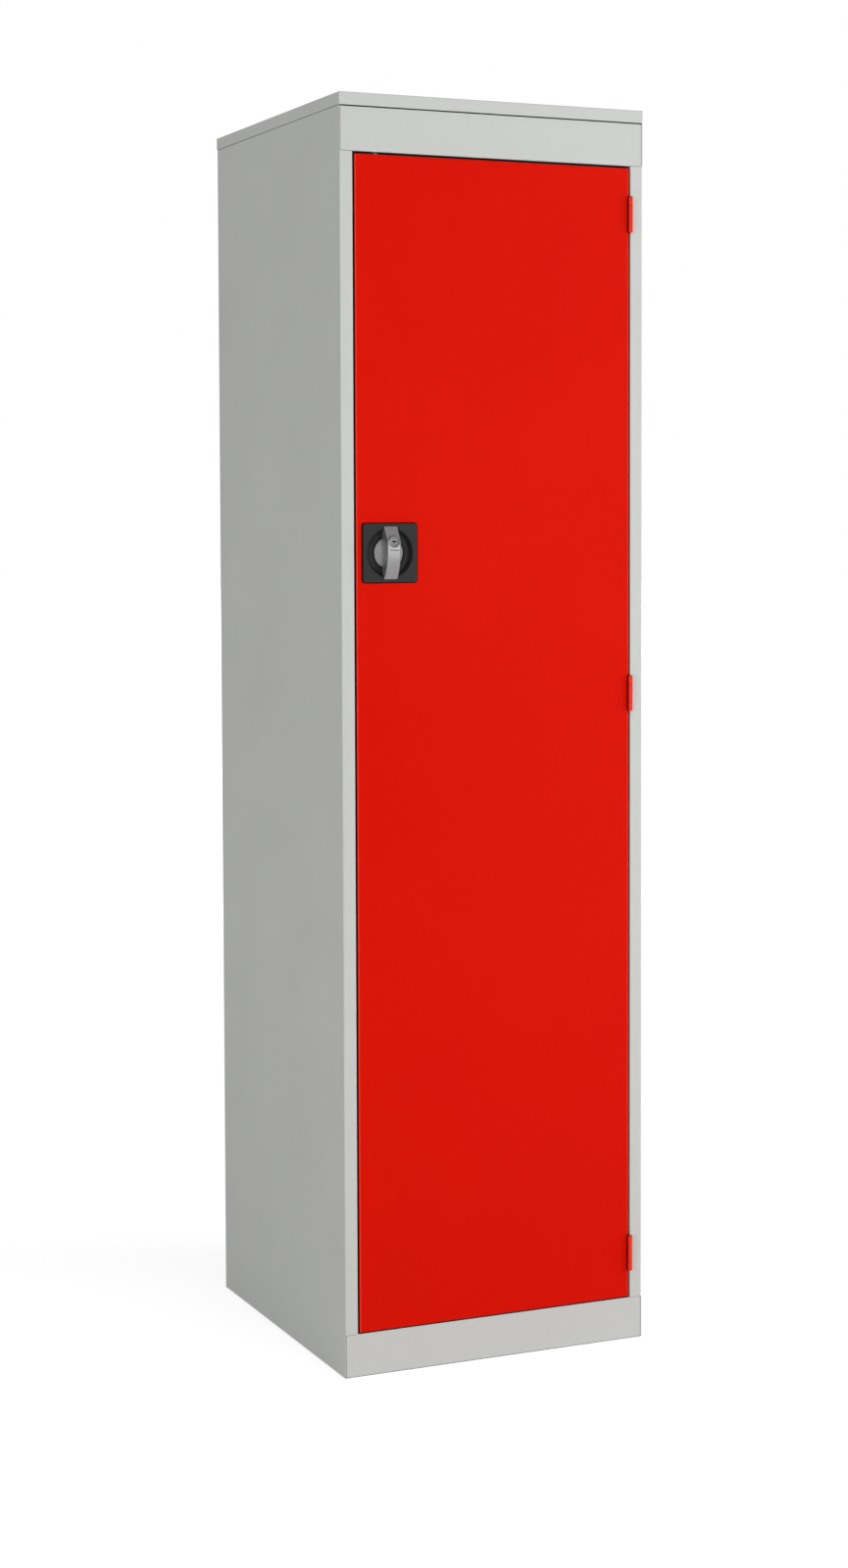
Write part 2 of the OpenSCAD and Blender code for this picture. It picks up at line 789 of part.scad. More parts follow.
function stadium(length, width) =
    let (r = width / 2, reach = length / 2 - r, steps = 12)
    concat([for (k = [0:steps]) [reach, 0] + r * [sin(180 * k / steps), -cos(180 * k / steps)]],
        [for (k = [0:steps]) [-reach, 0] + r * [-sin(180 * k / steps), cos(180 * k / steps)]]);

module crank_places() {
    for (side = [-1, 1]) translate([side * crank_at, side * crank_at, 0]) children();
}

// The cam carries the two rod pins, and its tongue swings behind the side panel's stop
module latch_cam() {
    color("lightgray") on_lock() difference() {
        translate([0, 0, cam_back]) linear_extrude(cam_t) {
            rotate(45) polygon(stadium(2 * crank_r + cam_arm_w, cam_arm_w));
            translate([0, -tongue_l / 2 + 5]) rotate(90)
                polygon(stadium(tongue_l + 10, tongue_w));
        }
        cube([shank_w + 0.2, shank_w + 0.2, 100], center = true);
        crank_places() cylinder(r = crank_pin_r + fit, h = 100, center = true);
    }
}

module cam_pins() {
    color("lightgray") on_lock() crank_places() {
        translate([0, 0, crank_pin_back - 0.5])
            cylinder(r = crank_pin_r, h = cam_front - crank_pin_back + 0.5);
        translate([0, 0, crank_pin_back - 1]) cylinder(r = 4, h = 1);
    }
}

module spindle_washer() {
    color("lightgray") on_lock() translate([0, 0, cam_back - washer_t]) difference() {
        cylinder(r = washer_r, h = washer_t);
        translate([0, 0, -over]) cylinder(r = bolt_r + fit, h = washer_t + 2 * over);
    }
}

module spindle_bolt() {
    color("lightgray") on_lock() {
        translate([0, 0, cam_back - washer_t - bolt_head_h])
            cylinder(r = bolt_head_r, h = bolt_head_h, $fn = 6);
        translate([0, 0, cam_back - washer_t - over]) cylinder(r = bolt_r, h = 15);
    }
}

// A flat link from a cam pin out and forward to its rod, with a slot across for the pin
module rod_strap(side) {
    arm = strap_front - strap_t / 2;
    slot_reach = crank_r - crank_at;
    color("lightgray") on_lock() rotate([0, 0, side > 0 ? 0 : 180]) difference() {
        along_x(-strap_x - strap_w, strap_w)
            folded([[-crank_at - 7, arm], [rod_start - strap_t / 2, arm],
                [rod_start - strap_t / 2, -3]], strap_t, strap_t);
        translate([-crank_at - slot_reach / 2, -crank_at, strap_front - 10])
            linear_extrude(20) polygon(stadium(
                slot_reach + 2 * (crank_pin_r + strap_slack), 2 * (crank_pin_r + strap_slack)));
        translate([-rod_off, rod_start, rod_depth]) rotate([90, 0, 0])
            cylinder(r = rod_tail_r + fit, h = 20, center = true);
    }
}

module top_rod_strap() {
    rod_strap(1);
}

module bottom_rod_strap() {
    rod_strap(-1);
}

// A round rod with a thinner tail that passes through its strap
module rod(side, length) {
    color("lightgray") on_lock() rod_places(side) {
        translate([0, 0, rod_start]) cylinder(r = rod_r, h = length);
        translate([0, 0, rod_start - rod_tail_l]) cylinder(r = rod_tail_r, h = rod_tail_l + over);
    }
}

module top_rod() {
    rod(1, top_rod_l);
}

module bottom_rod() {
    rod(-1, bottom_rod_l);
}

module rod_nut(side) {
    color("lightgray") on_lock() rod_places(side)
        translate([0, 0, rod_start - strap_t - rod_nut_h]) difference() {
            cylinder(r = rod_nut_r, h = rod_nut_h, $fn = 6);
            translate([0, 0, -over]) cylinder(r = rod_tail_r + fit, h = rod_nut_h + 2 * over);
        }
}

module top_rod_nut() {
    rod_nut(1);
}

module bottom_rod_nut() {
    rod_nut(-1);
}

left_side_panel();
right_side_panel();
back_panel();
top_lid();
header_rail();
plinth_rail();
base_panel();
front_left_upright();
front_right_upright();
rear_left_upright();
rear_right_upright();
shelf(0);  // shelf_1
shelf(1);  // shelf_2
shelf(2);  // shelf_3
shelf(3);  // shelf_4
shelf_clips();
door_buffers();
back_rivets();
frame_leaf(hinge_heights[0]);  // top_hinge_frame_leaf
frame_leaf(hinge_heights[1]);  // middle_hinge_frame_leaf
frame_leaf(hinge_heights[2]);  // bottom_hinge_frame_leaf
door_leaf(hinge_heights[0]);  // top_hinge_door_leaf
door_leaf(hinge_heights[1]);  // middle_hinge_door_leaf
door_leaf(hinge_heights[2]);  // bottom_hinge_door_leaf
hinge_pin(hinge_heights[0]);  // top_hinge_pin
hinge_pin(hinge_heights[1]);  // middle_hinge_pin
hinge_pin(hinge_heights[2]);  // bottom_hinge_pin
frame_hinge_rivets();
door_hinge_rivets();
door_skin();
door_stiffener();
handle_escutcheon();
lock_back_plate();
escutcheon_nuts();
top_rod_bush();
bottom_rod_bush();
rod_clips();
handle_hub();
handle_grip();
key_barrel();
latch_cam();
cam_pins();
spindle_washer();
spindle_bolt();
key_plug();
key_cam();
top_rod();
top_rod_strap();
top_rod_nut();
bottom_rod();
bottom_rod_strap();
bottom_rod_nut();
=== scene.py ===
import json
import math

import bmesh
import bpy
from mathutils import Matrix, Vector

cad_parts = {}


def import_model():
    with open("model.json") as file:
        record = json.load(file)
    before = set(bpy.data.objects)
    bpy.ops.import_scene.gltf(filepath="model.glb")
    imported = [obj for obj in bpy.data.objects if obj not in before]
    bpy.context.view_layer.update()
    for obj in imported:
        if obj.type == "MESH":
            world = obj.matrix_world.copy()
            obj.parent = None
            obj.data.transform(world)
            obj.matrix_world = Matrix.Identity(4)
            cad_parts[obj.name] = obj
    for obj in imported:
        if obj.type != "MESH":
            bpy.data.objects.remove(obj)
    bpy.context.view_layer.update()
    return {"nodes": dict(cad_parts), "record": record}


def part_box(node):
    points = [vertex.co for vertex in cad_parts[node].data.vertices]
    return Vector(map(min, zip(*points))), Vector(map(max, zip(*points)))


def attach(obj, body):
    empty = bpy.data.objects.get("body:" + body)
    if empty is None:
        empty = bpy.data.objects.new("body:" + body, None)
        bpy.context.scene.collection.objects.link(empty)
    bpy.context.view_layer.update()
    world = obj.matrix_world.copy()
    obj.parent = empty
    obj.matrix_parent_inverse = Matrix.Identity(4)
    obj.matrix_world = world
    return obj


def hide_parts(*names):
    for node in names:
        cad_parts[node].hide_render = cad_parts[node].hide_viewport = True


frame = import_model()

MM = 0.001


def middle(node):
    """The middle of a CAD node's box in metres, to a hundredth of a millimetre."""
    low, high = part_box(node)
    return [round(value, 5) for value in (low + high) / 2]


# The lock's own frame, in millimetres: x to the right, y up and z out of the door, from the
# place where the handle's axis meets the door's face
AXIS_X, _, AXIS_Z = middle("handle_escutcheon")
FACE_Y = round(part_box("door_skin")[0].y, 5)
LOCK = Matrix(((1, 0, 0, AXIS_X), (0, 0, -1, FACE_Y), (0, 1, 0, AXIS_Z), (0, 0, 0, 1)))
KEY_Y = round((middle("key_barrel")[2] - AXIS_Z) / MM, 2)


# ---- materials ----

# Sockets of the Mix node in its colour mode, which share their names with other modes
MIX_SHARE, MIX_A, MIX_B, MIX_RESULT = 0, 6, 7, 2
# Cosines of the angle between the flat and the rounded normal where an edge starts and is full
EDGE_TURN = (0.995, 0.80)
# Share of open sky below which painted shade in crevices is darkest, and above which there is
# none
CREVICE_SKY = (0.22, 0.60)


def rgb(r, g, b):
    return (r, g, b, 1.0)


class Nodes:
    """The node tree of a material or a world, emptied, with a short way to add each node."""

    def __init__(self, owner):
        owner.use_nodes = True
        self.tree = owner.node_tree
        self.tree.nodes.clear()

    def add(self, kind, **props):
        node = self.tree.nodes.new(kind)
        for key, value in props.items():
            setattr(node, key, value)
        return node

    def link(self, a, b):
        self.tree.links.new(a, b)

    def put(self, socket, value):
        """Links the socket to another one, or sets it to a number or colour."""
        if isinstance(value, bpy.types.NodeSocket):
            self.link(value, socket)
        else:
            socket.default_value = value

    def where(self, kind):
        return self.add("ShaderNodeTexCoord").outputs[kind]

    def parts(self, vector):
        node = self.add("ShaderNodeSeparateXYZ")
        self.link(vector, node.inputs[0])
        return node.outputs

    def maths(self, how, a, b=0.0):
        node = self.add("ShaderNodeMath", operation=how)
        self.put(node.inputs[0], a)
        self.put(node.inputs[1], b)
        return node.outputs["Value"]

    def ramp(self, value, span, to=(0.0, 1.0)):
        """Takes the ends of span to those of to, evenly between them and held beyond them."""
        node = self.add("ShaderNodeMapRange")
        self.link(value, node.inputs["Value"])
        for name, number in zip(("From Min", "From Max", "To Min", "To Max"), (*span, *to)):
            node.inputs[name].default_value = number
        return node.outputs["Result"]


class Shader(Nodes):
    """A Principled material whose maps are procedural and lie in the part's own metres."""

    def __init__(self, name):
        self.material = bpy.data.materials.new(name)
        super().__init__(self.material)
        out = self.add("ShaderNodeOutputMaterial")
        self.surface = self.add("ShaderNodeBsdfPrincipled")
        self.link(self.surface.outputs["BSDF"], out.inputs["Surface"])
        self.place = self.where("Object")

    def noise(self, scale, detail=2.0, rough=0.5, stretch=None):
        """Noise with about scale blotches to the metre. stretch multiplies that on each axis."""
        node = self.add("ShaderNodeTexNoise")
        node.inputs["Scale"].default_value = scale
        node.inputs["Detail"].default_value = detail
        node.inputs["Roughness"].default_value = rough
        source = self.place
        if stretch:
            mapping = self.add("ShaderNodeMapping")
            mapping.inputs["Scale"].default_value = stretch
            self.link(source, mapping.inputs["Vector"])
            source = mapping.outputs["Vector"]
        self.link(source, node.inputs["Vector"])
        return node.outputs["Fac"]

    def mix(self, share, a, b, blend="MIX"):
        node = self.add("ShaderNodeMix", data_type="RGBA", blend_type=blend)
        self.put(node.inputs[MIX_SHARE], share)
        self.put(node.inputs[MIX_A], a)
        self.put(node.inputs[MIX_B], b)
        return node.outputs[MIX_RESULT]

    def blotched(self, tone, other, pattern, span, share=1.0):
        """tone, with up to share of the other colour where the pattern rises through span."""
        return self.mix(self.ramp(pattern, span, (0.0, share)), tone, other)

    def edge_sheened(self, tone, wear_and_sheen, edge, share):
        """tone, with share of a lighter colour on edges: part abrasion, part painted highlight.
        """
        return self.mix(self.maths("MULTIPLY", edge, share), tone, wear_and_sheen)

    def rounded(self, radius):
        """The normal with edges rounded to that radius, and a mask that is 1 on the edges."""
        bevel = self.add("ShaderNodeBevel", samples=4)
        bevel.inputs["Radius"].default_value = radius
        geometry = self.add("ShaderNodeNewGeometry")
        dot = self.add("ShaderNodeVectorMath", operation="DOT_PRODUCT")
        self.link(bevel.outputs["Normal"], dot.inputs[0])
        self.link(geometry.outputs["True Normal"], dot.inputs[1])
        return bevel.outputs["Normal"], self.ramp(dot.outputs["Value"], EDGE_TURN)

    def crevice_shade(self, reach, deepest):
        """1 in the open, falling to deepest where walls closer than reach shut the light out."""
        node = self.add("ShaderNodeAmbientOcclusion", samples=6)
        node.inputs["Distance"].default_value = reach
        return self.ramp(node.outputs["AO"], CREVICE_SKY, (deepest, 1.0))

    # The mask below places the painted highlight on upright folds and hinge knuckles
    def turned(self, normal):
        """1 where the surface turns from front to side: on upright folds and hinge knuckles."""
        node = self.add("ShaderNodeVectorTransform", vector_type="NORMAL",
                        convert_from="WORLD", convert_to="OBJECT")
        self.link(normal, node.inputs[0])
        parts = self.parts(node.outputs[0])
        across, along = (self.maths("ABSOLUTE", parts[axis]) for axis in "XY")
        return self.ramp(self.maths("MINIMUM", across, along), (0.06, 0.36))

    # Multiplies tone by share; here that paints the shade in gaps and inner corners
    def with_painted_shade(self, tone, share):
        grey = self.add("ShaderNodeCombineColor")
        for socket in grey.inputs[:3]:
            self.link(share, socket)
        return self.mix(1.0, tone, grey.outputs[0], blend="MULTIPLY")

    def bump(self, height, distance, normal):
        node = self.add("ShaderNodeBump")
        node.inputs["Distance"].default_value = distance
        self.link(height, node.inputs["Height"])
        self.link(normal, node.inputs["Normal"])
        return node.outputs["Normal"]

    def finish(self, colour, rough, normal, metallic=0.0, specular=0.5, tint=None):
        self.put(self.surface.inputs["Base Color"], colour)
        self.put(self.surface.inputs["Roughness"], rough)
        self.put(self.surface.inputs["Normal"], normal)
        self.surface.inputs["Metallic"].default_value = metallic
        self.surface.inputs["Specular IOR Level"].default_value = specular
        if tint:
            self.surface.inputs["Specular Tint"].default_value = tint
        return self.material


def powder_coat(name, *, colour, shade, wear_and_sheen, wear_and_sheen_range, edge_mm, rough, specular, gap_shade, tint=None,
                folds=False):
    """Powder-coated sheet: orange peel, faint clouds and specks, and lighter edges, partly
    thinner paint and partly a painted highlight. The edge range is the least and the greatest
    share of the lighter colour on an edge, the gaps' level is what is left of the tone deep in
    gaps, as painted shade, and the folds switch paints the strongest highlight on upright folds
    and hinge knuckles."""
    s = Shader(name)
    edge_normal, edge = s.rounded(edge_mm * MM)
    edge_noise, edge_noise_span = s.noise(38.0, 6.0, 0.7), (0.40, 0.62)
    tone = s.blotched(colour, shade, s.noise(2.3, 3.0), (0.35, 0.65), 0.55)
    tone = s.blotched(tone, shade, s.noise(1400.0, 2.0), (0.55, 0.75), 0.25)
    wear_and_sheen_share = s.maths("MULTIPLY", edge, s.ramp(edge_noise, edge_noise_span, wear_and_sheen_range))
    # Painted highlight: upright folds and hinge knuckles get nearly the whole lighter colour
    if folds:
        fold_sheen_share = s.ramp(edge_noise, edge_noise_span, (0.85, 1.0))
        fold = s.maths("MULTIPLY", s.turned(edge_normal), fold_sheen_share)
        wear_and_sheen_share = s.maths("MAXIMUM", wear_and_sheen_share, fold)
    # Lighter edges: partly abrasion, partly a painted highlight, strongest on upright folds and
    # knuckles
    tone = s.mix(wear_and_sheen_share, tone, wear_and_sheen)
    # Painted shade: the tone goes dark in gaps, seams and inner corners where walls shut the
    # light out
    tone = s.with_painted_shade(tone, s.crevice_shade(7 * MM, gap_shade))
    peel = s.bump(s.noise(520.0, 1.0), 0.018 * MM, edge_normal)
    normal = s.bump(s.noise(3.1, 1.0), 0.5 * MM, peel)
    roughness = s.ramp(s.noise(9.0, 4.0), (0.3, 0.7), (rough - 0.03, rough + 0.04))
    return s.finish(tone, roughness, normal, specular=specular, tint=tint)


def zinc_plate():
    """Zinc-plated steel with a fine grain and a dull bloom."""
    s = Shader("zinc_steel")
    edge_normal, edge = s.rounded(0.3 * MM)
    grain = s.noise(60.0, 4.0, 0.6, stretch=(1.0, 1.0, 14.0))
    bloom = s.noise(45.0, 5.0, 0.6)
    tone = s.blotched(rgb(0.205, 0.210, 0.222), rgb(0.160, 0.163, 0.160), bloom, (0.35, 0.7))
    # Lighter edges: partly abrasion, partly a painted highlight
    tone = s.edge_sheened(tone, rgb(0.33, 0.335, 0.34), edge, 0.5)
    normal = s.bump(grain, 0.01 * MM, edge_normal)
    return s.finish(tone, s.ramp(grain, (0.3, 0.7), (0.36, 0.50)), normal, metallic=0.9)


def rubber():
    s = Shader("rubber")
    edge_normal, edge = s.rounded(0.4 * MM)
    dust = s.noise(300.0, 4.0)
    tone = s.blotched(rgb(0.022, 0.022, 0.023), rgb(0.06, 0.058, 0.055), dust, (0.4, 0.8), 0.5)
    # Lighter edges: partly abrasion, partly a painted highlight
    tone = s.edge_sheened(tone, rgb(0.09, 0.09, 0.09), edge, 0.4)
    return s.finish(tone, 0.82, s.bump(s.noise(1500.0, 3.0), 0.02 * MM, edge_normal))


def nylon():
    s = Shader("rod_nylon")
    edge_normal, edge = s.rounded(0.4 * MM)
    haze = s.noise(120.0, 4.0)
    tone = s.blotched(rgb(0.030, 0.030, 0.032), rgb(0.052, 0.052, 0.054), haze, (0.4, 0.7), 0.6)
    # Lighter edges: partly abrasion, partly a painted highlight
    tone = s.edge_sheened(tone, rgb(0.12, 0.12, 0.12), edge, 0.5)
    normal = s.bump(s.noise(900.0, 2.0), 0.015 * MM, edge_normal)
    return s.finish(tone, s.ramp(haze, (0.3, 0.7), (0.42, 0.55)), normal)


def cast_black(name, *, colour, haze_colour, wear_and_sheen, rough, specular):
    """Fine-grained black coating; lighter edges, partly abrasion and partly a painted highlight.
    """
    s = Shader(name)
    edge_normal, edge = s.rounded(0.4 * MM)
    grain = s.noise(1900.0, 3.0, 0.6)
    haze = s.noise(70.0, 4.0)
    tone = s.blotched(colour, haze_colour, haze, (0.35, 0.7), 0.7)
    tone = s.blotched(tone, wear_and_sheen, grain, (0.62, 0.75), 0.3)
    tone = s.edge_sheened(tone, wear_and_sheen, edge, s.ramp(s.noise(160.0, 4.0), (0.4, 0.65), (0.05, 0.35)))
    normal = s.bump(grain, 0.03 * MM, edge_normal)
    roughness = s.ramp(haze, (0.3, 0.7), (rough - 0.04, rough + 0.06))
    return s.finish(tone, roughness, normal, specular=specular)


def satin_silver():
    """Satin finish on the grip and the disc: fine metal flake, with brighter edges."""
    s = Shader("handle_silver")
    edge_normal, edge = s.rounded(0.25 * MM)
    flake = s.noise(2600.0, 2.0, 0.7)
    haze = s.noise(90.0, 5.0, 0.6)
    tone = s.blotched(rgb(0.300, 0.302, 0.305), rgb(0.255, 0.257, 0.260), haze, (0.3, 0.7), 0.8)
    tone = s.blotched(tone, rgb(0.37, 0.372, 0.375), flake, (0.55, 0.72), 0.3)
    # Lighter edges: partly abrasion, partly a painted highlight
    tone = s.edge_sheened(tone, rgb(0.48, 0.482, 0.48), edge, 0.4)
    normal = s.bump(flake, 0.01 * MM, edge_normal)
    return s.finish(tone, s.ramp(haze, (0.3, 0.7), (0.38, 0.44)), normal, metallic=0.66)


def nickel(name, *, colour, dull, wear_and_sheen, rough):
    """Nickel plate, mottled, with brighter edges."""
    s = Shader(name)
    edge_normal, edge = s.rounded(0.15 * MM)
    mottle = s.noise(900.0, 4.0, 0.6)
    tone = s.blotched(colour, dull, mottle, (0.35, 0.7))
    # Lighter edges: partly abrasion, partly a painted highlight
    tone = s.edge_sheened(tone, wear_and_sheen, edge, 0.5)
    normal = s.bump(mottle, 0.008 * MM, edge_normal)
    roughness = s.ramp(mottle, (0.3, 0.7), (rough - 0.05, rough + 0.07))
    return s.finish(tone, roughness, normal, metallic=0.9)


MATERIALS = {
    # Lighter edges: partly abrasion, partly painted highlight; nearly black in gaps: painted
    # shade
    "carcass_grey": powder_coat(
        "carcass_grey", colour=rgb(0.535, 0.548, 0.527), shade=rgb(0.508, 0.520, 0.500),
        wear_and_sheen=rgb(0.66, 0.67, 0.65), wear_and_sheen_range=(0.15, 0.55), edge_mm=0.9, rough=0.46, specular=0.20,
        gap_shade=0.02),
    # Edges and upright folds lighter: partly abrasion, partly painted highlight; gaps dark:
    # painted shade
    "door_red": powder_coat(
        "door_red", colour=rgb(0.625, 0.0060, 0.0012), shade=rgb(0.585, 0.0040, 0.0008),
        wear_and_sheen=rgb(0.98, 0.060, 0.036), wear_and_sheen_range=(0.15, 0.50), edge_mm=2.0, rough=0.46, specular=0.25,
        gap_shade=0.05, tint=rgb(1.0, 0.06, 0.03), folds=True),
    "zinc_steel": zinc_plate(),
    "rubber": rubber(),
    "escutcheon_black": cast_black(
        "escutcheon_black", colour=rgb(0.0195, 0.0195, 0.0200),
        haze_colour=rgb(0.0240, 0.0240, 0.0245), wear_and_sheen=rgb(0.052, 0.052, 0.053), rough=0.55,
        specular=0.18),
    "rod_nylon": nylon(),
    "handle_silver": satin_silver(),
    "lock_nickel": nickel(
        "lock_nickel", colour=rgb(0.165, 0.166, 0.168), dull=rgb(0.125, 0.126, 0.128),
        wear_and_sheen=rgb(0.30, 0.30, 0.295), rough=0.42),
}
# A darker copy of the escutcheon's black: painted shade on the plate's sloped border and in the
# keyway, and the dark fill of the grip's index line
SHADE_AND_LINE_BLACK = cast_black(
    "shade_and_line_black", colour=rgb(0.0035, 0.0035, 0.0036), haze_colour=rgb(0.0045, 0.0045, 0.0046),
    wear_and_sheen=rgb(0.014, 0.014, 0.014), rough=0.60, specular=0.04)
BRIGHT_NICKEL = nickel(
    "bright_nickel", colour=rgb(0.62, 0.622, 0.62), dull=rgb(0.52, 0.522, 0.52),
    wear_and_sheen=rgb(0.80, 0.80, 0.79), rough=0.26)

for part in frame["record"]["subparts"]:
    mesh = frame["nodes"][part["node"]].data
    mesh.materials.clear()
    mesh.materials.append(MATERIALS[part["material_slot"]])


# ---- mesh helpers, in millimetres in the lock's frame ----

MERGE, NO_AREA = 1e-5, 1e-9     # points closer than one are joined, faces under the other go
AXIS_R = 0.001                  # the least radius of a turned profile, a pinhole on its axis
SHARP = math.radians(32)


def piece(name, mesh, body, slot, *nodes, extra=()):
    """Makes an object from a mesh in the lock's frame and rides it on its body.
    extra holds more materials, each with a test of a face's middle that says where it goes."""
    mesh.materials.clear()
    mesh.materials.append(MATERIALS[slot])
    for face in mesh.polygons:
        face.material_index = 0
    for number, (material, test) in enumerate(extra, 1):
        mesh.materials.append(material)
        for face in mesh.polygons:
            if test(*face.center):
                face.material_index = number
    mesh.transform(LOCK @ Matrix.Scale(MM, 4))
    mesh.shade_smooth()
    mesh.set_sharp_from_angle(angle=SHARP)
    obj = bpy.data.objects.new(name, mesh)
    bpy.context.scene.collection.objects.link(obj)
    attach(obj, body)
    if nodes:
        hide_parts(*nodes)
    return obj


def from_bmesh(bm):
    bmesh.ops.remove_doubles(bm, verts=bm.verts, dist=MERGE)
    bmesh.ops.recalc_face_normals(bm, faces=bm.faces)
    mesh = bpy.data.meshes.new("made")
    bm.to_mesh(mesh)
    bm.free()
    return mesh


def circle(r, z, angles, centre=(0.0, 0.0)):
    return [(centre[0] + r * math.cos(a), centre[1] + r * math.sin(a), z) for a in angles]


def even_angles(steps):
    return [math.tau * k / steps for k in range(steps)]


def rectangle(left, right, low, high):
    return [(left, low), (right, low), (right, high), (left, high)]


def loft(bm, rings, closed=False):
    """Joins rings of equally many points with quads. closed joins the last ring to the first."""
    made = [[bm.verts.new(p) for p in ring] for ring in rings]
    pairs = list(zip(made, made[1:]))
    if closed:
        pairs.append((made[-1], made[0]))
    for low, high in pairs:
        for i in range(len(low)):
            j = (i + 1) % len(low)
            bm.faces.new((low[i], low[j], high[j], high[i]))
    return made


def lathe(profile, steps=96, centre=(0.0, 0.0)):
    """Turns a closed profile of (radius, height) points round the z axis through centre."""
    bm = bmesh.new()
    loft(bm, [circle(r, z, even_angles(steps), centre) for r, z in profile], closed=True)
    bmesh.ops.remove_doubles(bm, verts=bm.verts, dist=MERGE)
    flat = [f for f in bm.faces if f.calc_area() < NO_AREA]
    bmesh.ops.delete(bm, geom=flat, context="FACES_ONLY")
    return from_bmesh(bm)


def capped(rings):
    """A solid through the rings, closed by a face over the first and one over the last."""
    bm = bmesh.new()
    made = loft(bm, rings)
    bm.faces.new(made[0][::-1])
    bm.faces.new(made[-1])
    return from_bmesh(bm)


def prism(outline, low, high):
    """Extrudes an outline of (x, y) points from z low to z high."""
    return capped([[(x, y, z) for x, y in outline] for z in (low, high)])


def cut(mesh, *cutters):
    """mesh with the cutters' volumes taken away."""
    scene = bpy.context.scene
    target = bpy.data.objects.new("cut_target", mesh)
    scene.collection.objects.link(target)
    tools = []
    for tool in cutters:
        other = bpy.data.objects.new("cut_tool", tool)
        scene.collection.objects.link(other)
        modifier = target.modifiers.new("cut", "BOOLEAN")
        modifier.operation = "DIFFERENCE"
        modifier.solver = "EXACT"
        modifier.object = other
        tools.append(other)
    graph = bpy.context.evaluated_depsgraph_get()
    result = bpy.data.meshes.new_from_object(target.evaluated_get(graph))
    for other in [target, *tools]:
        bpy.data.objects.remove(other)
    return result


# ---- escutcheon ----

# The square plate, the width of its 45 degree border, and the outer edge of the dish's rim
PLATE_W, PLATE_T, PLATE_R, SLOPE, RIM_R = 83.8, 2.5, 5.0, 1.4, 35.6
SIDE_STEPS, CORNER_STEPS = 10, 8
# The dish's ring floor, and the well within it that the disc turns in
DISH_FLOOR, WELL_R, WELL_FLOOR = -4.5, 23.3, -8
# Behind the door: the housing, and the boss with the bore for the handle's stem
HOUSING_R, HOUSING_BACK, BOSS_R, BOSS_BACK, BORE_R = 35.5, -10, 15, -23, 10.05
# The two notches in the well's wall that the key's cam turns into: how far each reaches to its
# two sides, its nearest and farthest place from the axis, and its floor and top
NOTCH_SHORT, NOTCH_LONG, NOTCH_NEAR, NOTCH_FAR = 5.4, 7.6, 20, 26
NOTCH_DEPTHS = (-7.97, -5.5)
STUD_AT, STUD_R, STUD_BACK, STUD_FRONT, STUD_STEPS = 31, 2.0, -7.0, -0.02, 20


def rounded_square(half, r):
    flat = half - r
    side = [(half, -flat + 2 * flat * k / SIDE_STEPS) for k in range(SIDE_STEPS)]
    turns = [math.radians(90 * k / CORNER_STEPS) for k in range(CORNER_STEPS)]
    corner = [(flat + r * math.cos(a), flat + r * math.sin(a)) for a in turns]
    points = []
    for quarter in range(4):
        turn = math.radians(90 * quarter)
        c, s = math.cos(turn), math.sin(turn)
        points += [(x * c - y * s, x * s + y * c) for x, y in side + corner]
    return points


def escutcheon():
    """Square plate with rounded edges round a conical dish. Its housing, boss and notches are
    behind the door's face."""
    angles = [math.atan2(y, x) for x, y in rounded_square(PLATE_W / 2, PLATE_R)]

    def circles(*profile):
        return [circle(r, z, angles) for r, z in profile]

    def square(inset, z):
        outline = rounded_square(PLATE_W / 2 - inset, max(PLATE_R - inset, 0.5))
        return [(x, y, z) for x, y in outline]

    well = circles(
        (BORE_R, BOSS_BACK), (BORE_R, WELL_FLOOR), (BORE_R + 0.55, WELL_FLOOR),
        (WELL_R - 0.5, WELL_FLOOR), (WELL_R, WELL_FLOOR), (WELL_R, DISH_FLOOR - 0.4),
        (WELL_R + 0.1, DISH_FLOOR - 0.1), (WELL_R + 0.4, DISH_FLOOR))
    dish = circles(
        (24.2, DISH_FLOOR), (29.8, DISH_FLOOR), (30.4, DISH_FLOOR), (31.0, -4.2), (31.3, -3.75),
        (31.6, -3.2), (33.8, 1.2), (34.1, 1.75), (34.5, 2.25), (35.0, PLATE_T), (RIM_R, PLATE_T))
    plate = [
        square(2.2, PLATE_T), square(SLOPE + 0.2, PLATE_T), square(SLOPE, PLATE_T - 0.08),
        square(SLOPE - 0.2, PLATE_T - 0.25), square(0.15, PLATE_T - SLOPE + 0.1),
        square(0.0, PLATE_T - SLOPE - 0.15), square(0.0, 0.0)]
    back = circles(
        (HOUSING_R, 0.0), (HOUSING_R, HOUSING_BACK + 0.4), (HOUSING_R - 0.4, HOUSING_BACK),
        (BOSS_R + 0.5, HOUSING_BACK), (BOSS_R, HOUSING_BACK - 0.5), (BOSS_R, BOSS_BACK + 0.4),
        (BOSS_R - 0.4, BOSS_BACK))
    bm = bmesh.new()
    loft(bm, well + dish + plate + back, closed=True)
    upright = rectangle(-NOTCH_LONG, NOTCH_SHORT, NOTCH_NEAR, NOTCH_FAR)
    level = rectangle(NOTCH_NEAR, NOTCH_FAR, -NOTCH_SHORT, NOTCH_LONG)
    return cut(from_bmesh(bm), prism(upright, *NOTCH_DEPTHS), prism(level, *NOTCH_DEPTHS))


def studs():
    """The four studs that hold the escutcheon from behind."""
    profile = ((AXIS_R, STUD_BACK), (STUD_R - 0.4, STUD_BACK), (STUD_R, STUD_BACK + 0.4),
               (STUD_R, STUD_FRONT), (AXIS_R, STUD_FRONT))
    bm = bmesh.new()
    for x in (-STUD_AT, STUD_AT):
        for y in (-STUD_AT, STUD_AT):
            loft(bm, [circle(r, z, even_angles(STUD_STEPS), (x, y)) for r, z in profile])
    return from_bmesh(bm)


